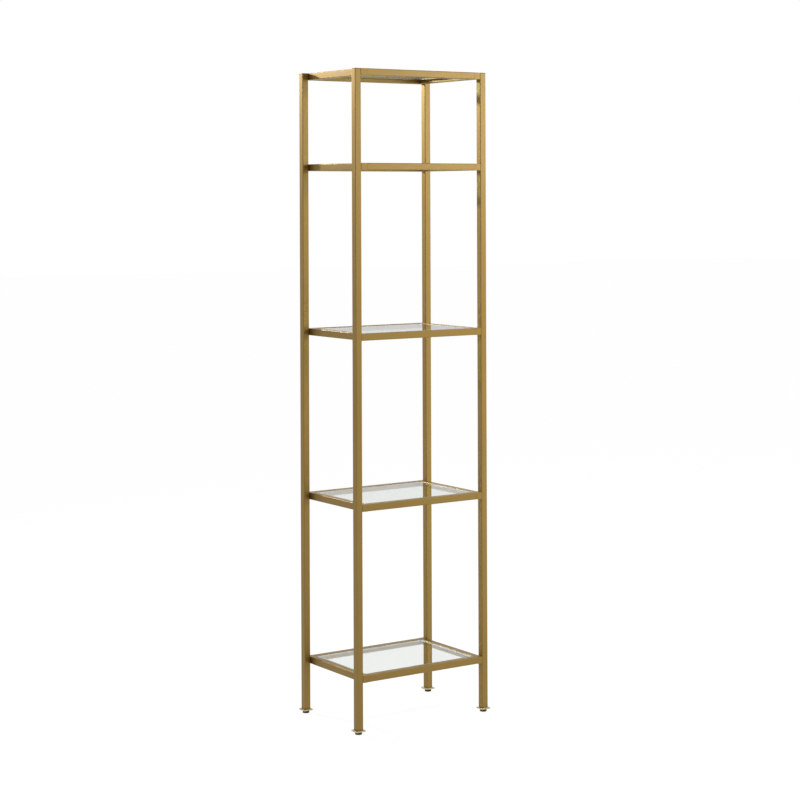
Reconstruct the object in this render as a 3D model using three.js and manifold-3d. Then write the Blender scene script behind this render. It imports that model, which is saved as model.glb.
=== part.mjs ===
// Tall narrow etagere: five glass shelves lie in welded square-tube frames held between four square posts.
// Units are millimetres, +Z up, front towards -Y, origin on the floor under the centre.
import * as THREE from 'three';
import { mergeVertices } from 'three/addons/utils/BufferGeometryUtils.js';
import Module from 'manifold-3d';

const wasm = await Module();
wasm.setup();

// Overall sizes
const overallHeight = 1879.6;
const overPostsWidth = 457.2;
const overPostsDepth = 304.8;

// Shelf levels: a shallow bay under the top shelf, and equal bays below it down to the lowest shelf
const lowestShelfTop = 164.3;
const topBayPitch = 267.5;
const equalBayCount = 3;

// Square tube stock, used for posts and rails alike
const tubeSize = 20;
const tubeWall = 1.5;
const tubeCornerRadius = 2;
const postCapThickness = 2;
const railEndThickness = 1.5;
const ventDiameter = 6;

// Feet: a square plate under each post, a threaded stem screwed up into it, and a round base
// that swivels on the pin at the stem's lower end
const footPlateOverhang = 5;
const footPlateThickness = 4;
const footPlateCornerRadius = 1.5;
const glideDiameter = 20;
const glideHeight = 8;
const glideChamfer = 0.8;
const glideNotchDepth = 0.5;
const glideNotchCount = 12;
const glideFloor = 3;
const stemDiameter = 8;
const stemLength = 22;
const stemTipChamfer = 1;
const stemPinDiameter = 6;
const stemClearance = 0.1;

// Glass panels and what they lie on
const glassThickness = 5;
const glassRecess = 1;
const glassEdgeGap = 1;
const glassCornerRadius = 2.5;
const glassArris = 0.5;
const gasketWidth = 6;
const gasketThickness = 1;
const ledgeWidth = 10;
const ledgeThickness = 2;
const ledgeCornerRadius = 1;

// Facets
const cornerSegments = 2;
const roundSegments = 32;
const notchSegments = 6;
const ventSegments = 16;

// Derived positions
const equalBayPitch = (overallHeight - topBayPitch - lowestShelfTop) / equalBayCount;
const shelfTops = [];
for (let i = 0; i <= equalBayCount; i += 1) shelfTops.push(lowestShelfTop + i * equalBayPitch);
shelfTops.push(overallHeight);
const postCentreX = (overPostsWidth - tubeSize) / 2;
const postCentreY = (overPostsDepth - tubeSize) / 2;
const sideRailCentreX = postCentreX - tubeSize;
const openingHalfX = sideRailCentreX - tubeSize / 2;
const openingHalfY = postCentreY - tubeSize / 2;
const postBase = glideHeight + footPlateThickness;
const footPlateSize = tubeSize + 2 * footPlateOverhang;
const stemPinLength = glideHeight - glideFloor;
const sides = { left: -1, right: 1 };
const ends = { front: -1, rear: 1 };

// Finishes
const finishes = {
  metal: { color: 0x9c7e48, metalness: 1, roughness: 0.38 },
  glass: { color: 0xe6f2ee, metalness: 0, roughness: 0.05, transparent: true, opacity: 0.35 },
  clearVinyl: { color: 0xdfe4e2, metalness: 0, roughness: 0.5 },
  zincSteel: { color: 0x9a9c9e, metalness: 1, roughness: 0.4 },
  blackNylon: { color: 0x17171a, metalness: 0, roughness: 0.55 },
};

const group = new THREE.Group();
group.name = 'etagere';

function addMesh(name, geometry, finish) {
  const mesh = new THREE.Mesh(geometry, new THREE.MeshStandardMaterial(finishes[finish]));
  mesh.name = name;
  group.add(mesh);
}

// Rectangle with rounded corners, centred on the origin
function roundedRectangle(width, depth, radius, path = new THREE.Shape()) {
  const x = width / 2 - radius;
  const y = depth / 2 - radius;
  const quarter = Math.PI / 2;
  path.absarc(x, y, radius, 0, quarter, false);
  path.absarc(-x, y, radius, quarter, 2 * quarter, false);
  path.absarc(-x, -y, radius, 2 * quarter, 3 * quarter, false);
  path.absarc(x, -y, radius, 3 * quarter, 4 * quarter, false);
  return path;
}

// Solid of one outline, rising from the plane z = 0
function plate(shape, thickness, chamfer = 0) {
  const geometry = new THREE.ExtrudeGeometry(shape, {
    depth: thickness - 2 * chamfer,
    curveSegments: cornerSegments,
    bevelEnabled: chamfer > 0,
    bevelThickness: chamfer,
    bevelSize: chamfer,
    bevelOffset: -chamfer,
    bevelSegments: 1,
  });
  return geometry.translate(0, 0, chamfer);
}

// Square tube with open ends, rising from the plane z = 0
function tube(length) {
  const shape = roundedRectangle(tubeSize, tubeSize, tubeCornerRadius);
  const bore = tubeSize - 2 * tubeWall;
  shape.holes.push(roundedRectangle(bore, bore, tubeCornerRadius - tubeWall, new THREE.Path()));
  return plate(shape, length);
}

function postCap() {
  return plate(roundedRectangle(tubeSize, tubeSize, tubeCornerRadius), postCapThickness);
}

function solidOf(geometry) {
  geometry.deleteAttribute('normal');
  geometry.deleteAttribute('uv');
  const welded = mergeVertices(geometry);
  return new wasm.Manifold(new wasm.Mesh({
    numProp: 3,
    vertProperties: welded.attributes.position.array,
    triVerts: new Uint32Array(welded.index.array),
  }));
}

function geometryOf(solid) {
  const { vertProperties, triVerts } = solid.getMesh();
  const geometry = new THREE.BufferGeometry();
  geometry.setAttribute('position', new THREE.BufferAttribute(vertProperties, 3));
  geometry.setIndex(new THREE.BufferAttribute(triVerts, 1));
  geometry.computeVertexNormals();
  return geometry;
}

// Side rail, rising from the plane z = 0: its ends are closed and ground flush, and it breathes
// through two vents towards +X, each hidden inside the end of a cross rail
function sideRail() {
  const bore = tubeSize - 2 * tubeWall;
  const boreShape = roundedRectangle(bore, bore, tubeCornerRadius - tubeWall);
  const boreLength = overPostsDepth - 2 * railEndThickness;
  let rail = solidOf(plate(roundedRectangle(tubeSize, tubeSize, tubeCornerRadius), overPostsDepth))
    .subtract(solidOf(plate(boreShape, boreLength).translate(0, 0, railEndThickness)));
  for (const height of [tubeSize / 2, overPostsDepth - tubeSize / 2]) {
    const radius = ventDiameter / 2;
    const vent = new THREE.CylinderGeometry(radius, radius, 2 * tubeWall, ventSegments);
    rail = rail.subtract(solidOf(vent.rotateZ(Math.PI / 2).translate(tubeSize / 2, 0, height)));
  }
  return geometryOf(rail);
}

// Foot plate with a hole for the glide's stem
function footPlate() {
  const shape = roundedRectangle(footPlateSize, footPlateSize, footPlateCornerRadius);
  const hole = new THREE.Path();
  const points = [];
  for (let i = 0; i < roundSegments; i += 1) {
    const angle = (2 * Math.PI * i) / roundSegments;
    const radius = stemDiameter / 2;
    points.push(new THREE.Vector2(radius * Math.cos(angle), radius * Math.sin(angle)));
  }
  hole.setFromPoints(points);
  shape.holes.push(hole);
  return plate(shape, footPlateThickness);
}

// Round base of a glide, with finger notches round its rim and a socket for the stem's pin
function glideBase() {
  const count = glideNotchCount * notchSegments;
  const points = [];
  for (let i = 0; i < count; i += 1) {
    const angle = (2 * Math.PI * i) / count;
    const notch = Math.max(0, Math.cos(glideNotchCount * angle)) * glideNotchDepth;
    const radius = glideDiameter / 2 - notch;
    points.push(new THREE.Vector2(radius * Math.cos(angle), radius * Math.sin(angle)));
  }
  const disc = plate(new THREE.Shape(points), glideHeight, glideChamfer);
  const radius = stemPinDiameter / 2 + stemClearance;
  const socket = new THREE.CylinderGeometry(radius, radius, 2 * stemPinLength, roundSegments);
  return geometryOf(solidOf(disc)
    .subtract(solidOf(socket.rotateX(Math.PI / 2).translate(0, 0, glideHeight))));
}

// Threaded stem, drawn at the thread's outside size, with its pin below the plane z = 0
function glideStem() {
  const radius = stemDiameter / 2 - stemClearance;
  const pinRadius = stemPinDiameter / 2;
  const profile = [
    [0, -stemPinLength],
    [pinRadius, -stemPinLength],
    [pinRadius, 0],
    [radius, 0],
    [radius, stemLength - stemTipChamfer],
    [radius - stemTipChamfer, stemLength],
    [0, stemLength],
  ];
  const points = profile.map((point) => new THREE.Vector2(...point));
  return new THREE.LatheGeometry(points, roundSegments).rotateX(Math.PI / 2);
}

// Flat ring with a rectangular outline, for the ledge and the gasket that carry a glass panel
function flatRing(width, depth, barWidth, thickness, radius) {
  const shape = roundedRectangle(width, depth, radius);
  const x = width / 2 - barWidth;
  const y = depth / 2 - barWidth;
  const corners = [[-x, -y], [-x, y], [x, y], [x, -y]];
  shape.holes.push(new THREE.Path(corners.map((corner) => new THREE.Vector2(...corner))));
  return plate(shape, thickness);
}

// Posts, their caps, foot plates and glides
for (const [side, signX] of Object.entries(sides)) {
  for (const [end, signY] of Object.entries(ends)) {
    const x = signX * postCentreX;
    const y = signY * postCentreY;
    const place = `${end}_${side}`;
    const postLength = overallHeight - postCapThickness - postBase;
    addMesh(`post_${place}`, tube(postLength).translate(x, y, postBase), 'metal');
    addMesh(`post_cap_${place}`,
      postCap().translate(x, y, overallHeight - postCapThickness), 'metal');
    addMesh(`foot_plate_${place}`, footPlate().translate(x, y, glideHeight), 'metal');
    addMesh(`glide_stem_${place}`, glideStem().translate(x, y, glideHeight), 'zincSteel');
    addMesh(`glide_base_${place}`, glideBase().translate(x, y, 0), 'blackNylon');
  }
}

// Shelves, numbered from the lowest up
shelfTops.forEach((top, index) => {
  const shelf = `shelf_${index + 1}`;
  const railAxis = top - tubeSize / 2;
  const crossRailLength = 2 * openingHalfX;

  for (const [side, signX] of Object.entries(sides)) {
    const rail = sideRail().rotateZ(signX > 0 ? Math.PI : 0).rotateX(-Math.PI / 2);
    addMesh(`${shelf}_rail_${side}`,
      rail.translate(signX * sideRailCentreX, -overPostsDepth / 2, railAxis), 'metal');
  }
  for (const [end, signY] of Object.entries(ends)) {
    const rail = tube(crossRailLength).rotateY(Math.PI / 2);
    addMesh(`${shelf}_rail_${end}`,
      rail.translate(-crossRailLength / 2, signY * postCentreY, railAxis), 'metal');
  }

  const glassUnderside = top - glassRecess - glassThickness;
  const gasketUnderside = glassUnderside - gasketThickness;
  const ledgeUnderside = gasketUnderside - ledgeThickness;
  const ledge = flatRing(2 * openingHalfX, 2 * openingHalfY, ledgeWidth, ledgeThickness,
    ledgeCornerRadius);
  addMesh(`${shelf}_ledge`, ledge.translate(0, 0, ledgeUnderside), 'metal');

  const glassWidth = 2 * (openingHalfX - glassEdgeGap);
  const glassDepth = 2 * (openingHalfY - glassEdgeGap);
  const gasket = flatRing(glassWidth, glassDepth, gasketWidth, gasketThickness, glassCornerRadius);
  addMesh(`${shelf}_gasket`, gasket.translate(0, 0, gasketUnderside), 'clearVinyl');
  const glass = plate(roundedRectangle(glassWidth, glassDepth, glassCornerRadius),
    glassThickness, glassArris);
  addMesh(`${shelf}_glass`, glass.translate(0, 0, glassUnderside), 'glass');
});

export default group;
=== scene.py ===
import math

import bmesh
import bpy
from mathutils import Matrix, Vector


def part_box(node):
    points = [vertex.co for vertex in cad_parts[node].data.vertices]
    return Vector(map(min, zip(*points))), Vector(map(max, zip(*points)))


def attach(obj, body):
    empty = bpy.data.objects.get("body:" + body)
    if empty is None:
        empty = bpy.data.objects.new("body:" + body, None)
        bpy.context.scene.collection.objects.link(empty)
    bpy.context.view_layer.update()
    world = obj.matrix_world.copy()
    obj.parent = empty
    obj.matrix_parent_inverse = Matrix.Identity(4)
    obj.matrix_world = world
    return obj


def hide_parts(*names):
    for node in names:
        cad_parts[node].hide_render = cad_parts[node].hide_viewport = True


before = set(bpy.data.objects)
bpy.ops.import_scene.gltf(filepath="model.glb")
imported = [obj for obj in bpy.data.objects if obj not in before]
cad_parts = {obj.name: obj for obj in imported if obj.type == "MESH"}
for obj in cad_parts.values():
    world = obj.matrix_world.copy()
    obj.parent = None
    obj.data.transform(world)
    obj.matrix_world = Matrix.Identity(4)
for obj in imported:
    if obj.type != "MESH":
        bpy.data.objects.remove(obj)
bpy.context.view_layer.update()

# The dressed etagere: brushed gold tube frames, inset glass shelves and moulded glide bases.
# Metres, +Z up, front towards -Y, origin on the floor under the centre of the four posts.
scene = bpy.context.scene

# Posts stand at four places, and shelves are counted from the lowest
SIDES = ("left", "right")
ENDS = ("front", "rear")
PLACES = [f"{end}_{side}" for end in ENDS for side in SIDES]
SHELF_COUNT = 5

# Tube stock
TUBE_WALL = 0.0015
TUBE_CORNER = 0.002
EASED_EDGE = 0.0003

# Foot plate
PLATE_CORNER = 0.0015
PLATE_EDGE = 0.001
STEM_HOLE_RADIUS = 0.004

# Gasket strip: its top stays just below the glass, because two faces in one place render dark
GASKET_WIDTH = 0.006
GASKET_CORNER = 0.0025
GASKET_INNER_CORNER = 0.0005
GASKET_GIVE = 0.00025

# Glide base: the shares give how far in its sole's hollow and bearing ring start, of the radius
GLIDE_EDGE = 0.0008
GLIDE_NOTCHES = 12
GLIDE_NOTCH_DEPTH = 0.0005
GLIDE_SOLE_RECESS = 0.0004
SOLE_HOLLOW_SHARE = 0.6
SOLE_BEARING_SHARE = 0.3

# Round stretches: steps in a corner, in an eased edge and round a glide base
CORNER_STEPS = 6
EDGE_STEPS = 4
EDGE_TURN = [step * math.pi / 2 / EDGE_STEPS for step in range(EDGE_STEPS + 1)]
GLIDE_STEPS = 144

# Weighted normals: 50 is neutral, and at 100 the large flat faces lead
FACE_WEIGHT = 100

# Camera, fitted to the edges of the frame in the photograph; lens and sensor in millimetres
CAMERA_PLACE = (-3.2201, -4.7988, 1.5177)
CAMERA_YAW = math.radians(34.074)
CAMERA_ROLL = math.radians(-0.216)
CAMERA_LENS = 88.343
CAMERA_SENSOR = 36.0
CAMERA_SHIFT = (0.0, -0.2549)
CAMERA_REACH = 200.0

# Studio light: the world fills softly, and shows white to the camera and pale in gloss and glass
WHITE = (1, 1, 1, 1)
WORLD_FILL = 0.7
WORLD_IN_GLOSS = 0.75
WORLD_SHOWN = 1.0
CAMERA_RAYS = ("Is Camera Ray",)
MIRRORED_RAYS = ("Is Glossy Ray", "Is Transmission Ray")

# Floor: most of what is seen of it is its own white, and the rest keeps the shadow
FLOOR_COLOUR = (0.85, 0.85, 0.85, 1)
FLOOR_SHOWN = 1.06
FLOOR_SHOWN_SHARE = 0.85
FLOOR_REACH = 30.0
FLOOR_SEGMENTS = 2

# Lamps: each is aimed at the object's upright axis, at a height of its own
KEY_SIZE = (0.12, 0.12)
SOFT_SIZE = (1.13, 0.8)
LAMPS = {
    "key_rear_left": {"place": (-0.94, 2.45, 2.43), "aim_height": 1.4, "size": KEY_SIZE, "watts": 54.0},
    "soft_rear_right": {"place": (2.06, 2.45, 2.8), "aim_height": 2.8, "size": SOFT_SIZE, "watts": 10.0},
    "soft_front_right": {"place": (2.06, -2.45, 2.0), "aim_height": 2.0, "size": SOFT_SIZE, "watts": 23.0},
    "low_front_right": {"place": (2.77, -1.6, 0.4), "aim_height": 0.4, "size": SOFT_SIZE, "watts": 18.0},
}


# Nodes of a material

class Nodes:
    """Short calls for building one node tree."""

    def __init__(self, tree):
        self.tree = tree
        tree.nodes.clear()

    def add(self, kind, settings=None, **inputs):
        """A new node, with its settings and then its inputs, where _ stands for a space."""
        node = self.tree.nodes.new(kind)
        for key, value in (settings or {}).items():
            setattr(node, key, value)
        for key, value in inputs.items():
            self.feed(node, key.replace("_", " "), value)
        return node

    def feed(self, node, socket, value):
        """Links an output to an input, or sets the input to a plain value."""
        target = node.inputs[socket] if isinstance(socket, int) else self.socket(node, socket)
        if isinstance(value, bpy.types.NodeSocket):
            self.tree.links.new(value, target)
        else:
            target.default_value = value

    @staticmethod
    def socket(node, name):
        for socket in node.inputs:
            if socket.name.lower() == name.lower() and socket.enabled:
                return socket
        raise KeyError(f"{node.bl_idname} has no input {name}")


def new_material(name):
    material = bpy.data.materials.new(name)
    material.use_nodes = True
    return material, Nodes(material.node_tree)


def noise(nodes, cells, detail=2.0, roughness=0.5):
    """Noise with the given number of cells per metre along each axis of the object."""
    place = nodes.add("ShaderNodeTexCoord").outputs["Object"]
    stretched = nodes.add("ShaderNodeMapping", Vector=place, Scale=cells).outputs["Vector"]
    texture = nodes.add("ShaderNodeTexNoise", Vector=stretched,
                        Scale=1.0, Detail=detail, Roughness=roughness)
    return texture.outputs["Fac"]


def between(nodes, factor, low, high):
    """A value that goes from low to high across the middle of a noise, from 0.3 to 0.7."""
    span = nodes.add("ShaderNodeMapRange", Value=factor, From_Min=0.3, From_Max=0.7,
                     To_Min=low, To_Max=high)
    return span.outputs["Result"]


def blend_colours(nodes, factor, first, second, shares=(0.0, 1.0)):
    """The first colour, with a share of the second that follows a noise."""
    mix = nodes.add("ShaderNodeMix", {"data_type": "RGBA"},
                    Factor=between(nodes, factor, *shares), A=first, B=second)
    return next(s for s in mix.outputs if s.type == "RGBA" and s.enabled)


def combine(nodes, operation, first, second):
    """The sum, product or larger of two values, as the operation says."""
    maths = nodes.add("ShaderNodeMath", {"operation": operation})
    nodes.feed(maths, 0, first)
    nodes.feed(maths, 1, second)
    return maths.outputs["Value"]


def mix_shaders(nodes, share, first, second):
    """The first shader, with the given share of the second."""
    mix = nodes.add("ShaderNodeMixShader")
    nodes.feed(mix, 0, share)
    nodes.feed(mix, 1, first)
    nodes.feed(mix, 2, second)
    return mix.outputs["Shader"]


def bumped(nodes, height, strength, distance):
    """The normal of a surface with a noise in relief."""
    bump = nodes.add("ShaderNodeBump", Strength=strength, Distance=distance, Height=height)
    return bump.outputs["Normal"]


def principled(nodes, **inputs):
    return nodes.add("ShaderNodeBsdfPrincipled", **inputs).outputs["BSDF"]


def output(nodes, surface, volume=None):
    out = nodes.add("ShaderNodeOutputMaterial", Surface=surface)
    if volume:
        nodes.feed(out, "Volume", volume)


def seen_by(nodes, rays, base, level):
    """The base, or the level if that is more, for a ray of one of the named kinds."""
    path = nodes.add("ShaderNodeLightPath")
    total = base
    for ray in rays:
        shown = combine(nodes, "MULTIPLY", path.outputs[ray], level)
        total = combine(nodes, "MAXIMUM", total, shown)
    return total


# Brushed gold: colours are linear, and noises are in cells per metre
GOLD = (0.257, 0.162, 0.037, 1)
GOLD_WORN = (0.282, 0.180, 0.045, 1)
GOLD_DEEP = (0.233, 0.144, 0.029, 1)
GOLD_EDGE = (0.91, 0.90, 0.88, 1)
GRAIN_ALONG = 28.0
GRAIN_ACROSS = 2600.0
STREAKS_ALONG = 7.0
STREAKS_ACROSS = 420.0
GOLD_CLOUD = (9.0, 9.0, 5.0)
STREAK_SHARES = (0.35, 0.85)
GOLD_ROUGHNESS = (0.43, 0.55)
GOLD_ROUGHNESS_DRIFT = (-0.02, 0.02)
GOLD_BUMP = 0.10
GOLD_RELIEF = 0.0001
GOLD_COAT = 0.35
GOLD_COAT_ROUGHNESS = 0.30


def brushed_cells(axis, along_axis, across_axis):
    """Cells per metre of a noise that is drawn out along one axis."""
    return [along_axis if i == axis else across_axis for i in range(3)]


def brushed_gold(axis):
    """Satin gold, brushed along one axis (0, 1 or 2)."""
    material, nodes = new_material("brushed_gold_" + "xyz"[axis])
    grain = noise(nodes, brushed_cells(axis, GRAIN_ALONG, GRAIN_ACROSS), detail=3.0, roughness=0.6)
    streaks = noise(nodes, brushed_cells(axis, STREAKS_ALONG, STREAKS_ACROSS))
    cloud = noise(nodes, GOLD_CLOUD)
    tone = blend_colours(nodes, cloud, GOLD_DEEP, GOLD_WORN)
    colour = blend_colours(nodes, streaks, tone, GOLD, STREAK_SHARES)
    roughness = combine(nodes, "ADD", between(nodes, grain, *GOLD_ROUGHNESS),
                        between(nodes, cloud, *GOLD_ROUGHNESS_DRIFT))
    output(nodes, principled(nodes, Base_Color=colour, Metallic=1.0, Roughness=roughness,
                             Normal=bumped(nodes, grain, GOLD_BUMP, GOLD_RELIEF),
                             Coat_Weight=GOLD_COAT, Coat_Roughness=GOLD_COAT_ROUGHNESS,
                             Specular_Tint=GOLD_EDGE))
    return material


# Foot plate gold: paler than the frame's gold, a painted highlight for the pale sheen the plates catch
PLATE_GOLD_PAINTED_HIGHLIGHT = (0.50, 0.42, 0.25, 1)
PLATE_GOLD_DEEP_PAINTED_HIGHLIGHT = (0.42, 0.34, 0.17, 1)
PLATE_GRAIN = (900.0, 900.0, 900.0)
PLATE_CLOUD = (60.0, 60.0, 60.0)
PLATE_ROUGHNESS = (0.26, 0.36)
PLATE_BUMP = 0.08
PLATE_RELIEF = 0.0001
PLATE_COAT = 0.4
PLATE_COAT_ROUGHNESS = 0.2


def plate_gold_painted_highlight():
    """Smoother gold of the pressed foot plates, its colour paler than the frame's gold as a painted
    highlight.
    """
    material, nodes = new_material("foot_plate_gold_painted_highlight")
    grain = noise(nodes, PLATE_GRAIN, detail=3.0)
    cloud = noise(nodes, PLATE_CLOUD)
    # Both plate colours are lighter than the frame's gold: painted highlight over the whole plate
    colour = blend_colours(nodes, cloud, PLATE_GOLD_DEEP_PAINTED_HIGHLIGHT, PLATE_GOLD_PAINTED_HIGHLIGHT)
    output(nodes, principled(nodes, Base_Color=colour, Metallic=1.0,
                             Roughness=between(nodes, grain, *PLATE_ROUGHNESS),
                             Normal=bumped(nodes, grain, PLATE_BUMP, PLATE_RELIEF),
                             Coat_Weight=PLATE_COAT, Coat_Roughness=PLATE_COAT_ROUGHNESS))
    return material


# Shelf glass
GLASS_TINT = (0.935, 0.955, 0.925, 1)
GLASS_SHADOW = (0.86, 0.93, 0.90, 1)
GLASS_ABSORPTION = (0.45, 0.86, 0.74, 1)
GLASS_DENSITY = 4.0
GLASS_IOR = 1.52
GLASS_WIPES = (14.0, 60.0, 60.0)
GLASS_DUST = (900.0, 900.0, 900.0)
WIPE_ROUGHNESS = (0.0, 0.012)
DUST_SHARES = (0.4, 1.0)


def clear_glass():
    """Clear tempered float glass with a faint green depth and a few wipe marks."""
    material, nodes = new_material("shelf_glass")
    wipes = noise(nodes, GLASS_WIPES, detail=4.0)
    dust = noise(nodes, GLASS_DUST, detail=1.0)
    marks = combine(nodes, "MULTIPLY", between(nodes, wipes, *WIPE_ROUGHNESS),
                    between(nodes, dust, *DUST_SHARES))
    glass = principled(nodes, Base_Color=GLASS_TINT, Roughness=marks, IOR=GLASS_IOR,
                       Transmission_Weight=1.0)
    clear = nodes.add("ShaderNodeBsdfTransparent", Color=GLASS_SHADOW)
    path = nodes.add("ShaderNodeLightPath")
    surface = mix_shaders(nodes, path.outputs["Is Shadow Ray"], glass, clear.outputs["BSDF"])
    depth = nodes.add("ShaderNodeVolumeAbsorption", Color=GLASS_ABSORPTION, Density=GLASS_DENSITY)
    output(nodes, surface, depth.outputs["Volume"])
    return material


# Gasket vinyl
VINYL = (0.90, 0.86, 0.78, 1)
VINYL_RIPPLE = (300.0, 300.0, 300.0)
VINYL_ROUGHNESS = (0.30, 0.45)
VINYL_BUMP = 0.15
VINYL_RELIEF = 0.0002
VINYL_IOR = 1.5
VINYL_CLARITY = 0.10


def clear_vinyl():
    """Milky clear strip under the glass."""
    material, nodes = new_material("gasket_vinyl")
    ripple = noise(nodes, VINYL_RIPPLE)
    output(nodes, principled(nodes, Base_Color=VINYL, IOR=VINYL_IOR,
                             Roughness=between(nodes, ripple, *VINYL_ROUGHNESS),
                             Transmission_Weight=VINYL_CLARITY,
                             Normal=bumped(nodes, ripple, VINYL_BUMP, VINYL_RELIEF)))
    return material


# Glide stem zinc
ZINC = (0.55, 0.56, 0.57, 1)
ZINC_BLOOM = (700.0, 700.0, 700.0)
ZINC_ROUGHNESS = (0.30, 0.48)


def zinc_steel():
    """Zinc-plated steel of the glide stems."""
    material, nodes = new_material("zinc_thread")
    bloom = noise(nodes, ZINC_BLOOM)
    output(nodes, principled(nodes, Base_Color=ZINC, Metallic=1.0,
                             Roughness=between(nodes, bloom, *ZINC_ROUGHNESS)))
    return material


# Glide base nylon
NYLON = (0.018, 0.018, 0.020, 1)
NYLON_PEBBLE = (2500.0, 2500.0, 2500.0)
NYLON_ROUGHNESS = (0.42, 0.58)
NYLON_BUMP = 0.25
NYLON_RELIEF = 0.0001
NYLON_SPECULAR = 0.3


def black_nylon():
    """Moulded nylon with a fine spark-eroded grain."""
    material, nodes = new_material("glide_nylon")
    pebble = noise(nodes, NYLON_PEBBLE, detail=3.0)
    output(nodes, principled(nodes, Base_Color=NYLON, Specular_IOR_Level=NYLON_SPECULAR,
                             Roughness=between(nodes, pebble, *NYLON_ROUGHNESS),
                             Normal=bumped(nodes, pebble, NYLON_BUMP, NYLON_RELIEF)))
    return material


def pale_floor():
    """Pale floor that shows as white background and keeps a faint shadow."""
    material, nodes = new_material("studio_floor")
    pale = nodes.add("ShaderNodeBsdfDiffuse", Color=FLOOR_COLOUR)
    white = nodes.add("ShaderNodeEmission", Color=WHITE, Strength=FLOOR_SHOWN)
    share = seen_by(nodes, CAMERA_RAYS + MIRRORED_RAYS, 0.0, FLOOR_SHOWN_SHARE)
    output(nodes, mix_shaders(nodes, share, pale.outputs["BSDF"], white.outputs["Emission"]))
    return material


# The looks, one for each material, and brushed gold once for each axis
GOLD_ALONG = [brushed_gold(axis) for axis in range(3)]
PLATE_PAINTED_HIGHLIGHT_LOOK = plate_gold_painted_highlight()
GLASS_LOOK = clear_glass()
VINYL_LOOK = clear_vinyl()
ZINC_LOOK = zinc_steel()
NYLON_LOOK = black_nylon()


# Outlines and meshes

def rounded_ring(width, depth, radius):
    """Points round a rectangle with rounded corners, centred on the origin."""
    points = []
    for corner in range(4):
        turn = corner * math.pi / 2
        centre_x = (width / 2 - radius) * (1 if corner in (0, 3) else -1)
        centre_y = (depth / 2 - radius) * (1 if corner in (0, 1) else -1)
        for step in range(CORNER_STEPS + 1):
            angle = turn + step * math.pi / 2 / CORNER_STEPS
            points.append((centre_x + radius * math.cos(angle),
                           centre_y + radius * math.sin(angle)))
    return points


def level_ring(centre, width, depth, radius, z):
    """A rounded rectangle round a centre, lying level at the height z."""
    return [Vector((centre.x + x, centre.y + y, z)) for x, y in rounded_ring(width, depth, radius)]


def round_ring(centre, reaches, z):
    """Points round a centre, level at the height z: one for each angle and its reach."""
    return [Vector((centre.x + reach * math.cos(angle), centre.y + reach * math.sin(angle), z))
            for angle, reach in reaches]


def loft(rings, capped):
    """Mesh through rings of 3-D points: capped at both ends, or closed on itself."""
    mesh = bmesh.new()
    rows = [[mesh.verts.new(point) for point in ring] for ring in rings]
    pairs = list(zip(rows, rows[1:]))
    if capped:
        mesh.faces.new(rows[0][::-1])
        mesh.faces.new(rows[-1])
    else:
        pairs.append((rows[-1], rows[0]))
    for low, high in pairs:
        count = len(low)
        for i in range(count):
            j = (i + 1) % count
            mesh.faces.new((low[i], low[j], high[j], high[i]))
    bmesh.ops.recalc_face_normals(mesh, faces=mesh.faces)
    return mesh


def mesh_object(name, mesh, material):
    """A new object that takes over a built mesh, in one material."""
    data = bpy.data.meshes.new(name)
    mesh.to_mesh(data)
    mesh.free()
    data.materials.append(material)
    made = bpy.data.objects.new(name, data)
    scene.collection.objects.link(made)
    return made


def finish_piece(name, mesh, material, body, node):
    """A piece of the object: shaded smooth with flat faces flat, on its body, in a node's place."""
    piece = mesh_object(name, mesh, material)
    piece.data.shade_smooth()
    weighted = piece.modifiers.new("flat_faces_stay_flat", "WEIGHTED_NORMAL")
    weighted.weight = FACE_WEIGHT
    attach(piece, body)
    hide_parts(node)


# Pieces

def tube_piece(name, node, axis, open_ends):
    """Rounded square tube in the place of a node, with eased ends: a closed one has no bore inside."""
    low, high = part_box(node)
    centre, size = (low + high) / 2, high - low
    across = [size[i] for i in range(3) if i != axis]
    offset = centre.copy()
    offset[axis] = 0.0
    start, stop = low[axis], high[axis]

    def laid(x, y, distance):
        """A point of the tube's outline, at a distance along its axis."""
        return Vector({0: (distance, x, y), 1: (x, distance, y), 2: (x, y, distance)}[axis]) + offset

    def ring(inset, distance):
        radius = max(TUBE_CORNER - inset, EASED_EDGE)
        outline = rounded_ring(across[0] - 2 * inset, across[1] - 2 * inset, radius)
        return [laid(x, y, distance) for x, y in outline]

    rings = [ring(EASED_EDGE, start), ring(0.0, start + EASED_EDGE),
             ring(0.0, stop - EASED_EDGE), ring(EASED_EDGE, stop)]
    if open_ends:
        rings += [ring(TUBE_WALL, stop), ring(TUBE_WALL, start)]
    finish_piece(name, loft(rings, capped=not open_ends), GOLD_ALONG[axis],
                 "frame", node)


def foot_plate(place):
    """Square plate under a post: eased upper edges and the hole for the glide's stem."""
    node = f"foot_plate_{place}"
    low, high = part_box(node)
    centre = (low + high) / 2
    size = high.x - low.x

    def ring(inset, z):
        return level_ring(centre, size - 2 * inset, size - 2 * inset, PLATE_CORNER, z)

    def hole(z):
        """The hidden stem hole: its points lie towards the outline's, so it is nearly square."""
        outline = rounded_ring(size, size, PLATE_CORNER)
        return round_ring(centre, [(math.atan2(y, x), STEM_HOLE_RADIUS) for x, y in outline], z)

    rings = [hole(low.z), ring(EASED_EDGE, low.z), ring(0.0, low.z + EASED_EDGE)]
    for angle in EDGE_TURN:
        rings.append(ring(PLATE_EDGE * (1 - math.cos(angle)),
                          high.z - PLATE_EDGE * (1 - math.sin(angle))))
    rings.append(hole(high.z))
    finish_piece(f"foot_plate_eased_{place}", loft(rings, capped=False), PLATE_PAINTED_HIGHLIGHT_LOOK,
                 "frame", node)


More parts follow.
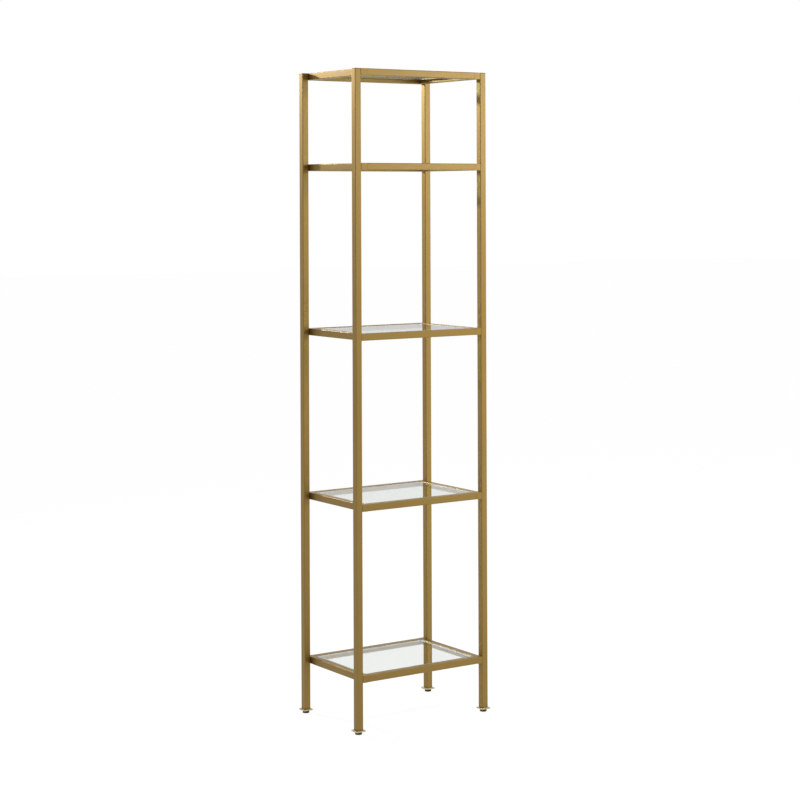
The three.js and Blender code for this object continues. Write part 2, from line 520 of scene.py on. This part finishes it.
def gasket_strip(shelf):
    """Ring of clear vinyl under the edge of a glass panel."""
    node = f"{shelf}_gasket"
    low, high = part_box(node)
    centre, size = (low + high) / 2, high - low
    top = high.z - GASKET_GIVE

    def ring(inset, radius, z):
        return level_ring(centre, size.x - 2 * inset, size.y - 2 * inset, radius, z)

    rings = [ring(0.0, GASKET_CORNER, low.z), ring(0.0, GASKET_CORNER, top),
             ring(GASKET_WIDTH, GASKET_INNER_CORNER, top),
             ring(GASKET_WIDTH, GASKET_INNER_CORNER, low.z)]
    finish_piece(f"{shelf}_strip", loft(rings, capped=False), VINYL_LOOK,
                 "frame", node)


def glide_base(place):
    """Moulded glide base: notched rim, rounded edges, a slightly hollow sole and no hidden socket."""
    node = f"glide_base_{place}"
    low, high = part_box(node)
    centre = (low + high) / 2
    radius = (high.x - low.x) / 2

    def ring(inset, z, notch_depth):
        angles = [2 * math.pi * i / GLIDE_STEPS for i in range(GLIDE_STEPS)]
        reaches = [radius - inset - max(0.0, math.cos(GLIDE_NOTCHES * angle)) * notch_depth
                   for angle in angles]
        return round_ring(centre, zip(angles, reaches), z)

    rings = [ring(SOLE_HOLLOW_SHARE * radius, low.z + GLIDE_SOLE_RECESS, 0.0),
             ring(SOLE_BEARING_SHARE * radius, low.z, 0.0)]
    for angle in EDGE_TURN:
        rings.append(ring(GLIDE_EDGE * (1 - math.sin(angle)),
                          low.z + GLIDE_EDGE * (1 - math.cos(angle)), GLIDE_NOTCH_DEPTH))
    for angle in reversed(EDGE_TURN):
        rings.append(ring(GLIDE_EDGE * (1 - math.sin(angle)),
                          high.z - GLIDE_EDGE * (1 - math.cos(angle)), GLIDE_NOTCH_DEPTH))
    finish_piece(f"glide_disc_{place}", loft(rings, capped=True), NYLON_LOOK,
                 f"glide_base_{place}", node)


def wear(node, material):
    """Gives a CAD node that keeps its own shape a material."""
    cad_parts[node].data.materials[0] = material


# The object

for place in PLACES:
    tube_piece(f"post_tube_{place}", f"post_{place}", 2, open_ends=True)
    tube_piece(f"post_end_{place}", f"post_cap_{place}", 2, open_ends=False)
    foot_plate(place)
    wear(f"glide_stem_{place}", ZINC_LOOK)
    glide_base(place)

for number in range(1, SHELF_COUNT + 1):
    shelf = f"shelf_{number}"
    for side in SIDES:
        tube_piece(f"{shelf}_tube_{side}", f"{shelf}_rail_{side}", 1, open_ends=False)
    for end in ENDS:
        tube_piece(f"{shelf}_tube_{end}", f"{shelf}_rail_{end}", 0, open_ends=True)
    wear(f"{shelf}_ledge", GOLD_ALONG[0])
    gasket_strip(shelf)
    wear(f"{shelf}_glass", GLASS_LOOK)


# Studio

def studio_floor():
    grid = bmesh.new()
    bmesh.ops.create_grid(grid, x_segments=FLOOR_SEGMENTS, y_segments=FLOOR_SEGMENTS, size=FLOOR_REACH)
    mesh_object("studio_floor", grid, pale_floor())


def studio_world():
    """White surround, at its own level for the light it casts, for gloss and glass, and as seen."""
    world = bpy.data.worlds.new("studio_world")
    world.use_nodes = True
    world.cycles.sampling_method = "NONE"
    scene.world = world
    nodes = Nodes(world.node_tree)
    mirrored = seen_by(nodes, MIRRORED_RAYS, WORLD_FILL, WORLD_IN_GLOSS)
    strength = seen_by(nodes, CAMERA_RAYS, mirrored, WORLD_SHOWN)
    background = nodes.add("ShaderNodeBackground", Color=WHITE, Strength=strength)
    nodes.add("ShaderNodeOutputWorld", Surface=background.outputs["Background"])


def lamp(name, place, aim_height, size, watts):
    """Rectangular lamp that isn't seen through the glass."""
    light = bpy.data.lights.new(name, "AREA")
    light.shape = "RECTANGLE"
    light.size, light.size_y = size
    light.energy = watts
    holder = bpy.data.objects.new(name, light)
    holder.visible_transmission = False
    scene.collection.objects.link(holder)
    holder.location = place
    aim = Vector((0.0, 0.0, aim_height)) - Vector(place)
    holder.rotation_euler = aim.to_track_quat("-Z", "Y").to_euler()


def camera():
    """Camera with no tilt up or down, as the photograph's, which is framed by its shift."""
    data = bpy.data.cameras.new("photo_camera")
    data.sensor_width = CAMERA_SENSOR
    data.lens = CAMERA_LENS
    data.shift_x, data.shift_y = CAMERA_SHIFT
    data.clip_end = CAMERA_REACH
    holder = bpy.data.objects.new("photo_camera", data)
    scene.collection.objects.link(holder)
    holder.location = CAMERA_PLACE
    holder.rotation_euler = (math.pi / 2, -CAMERA_ROLL, -CAMERA_YAW)
    scene.camera = holder


studio_floor()
studio_world()
for name, settings in LAMPS.items():
    lamp(name, **settings)
camera()

scene.view_settings.view_transform = "Standard"
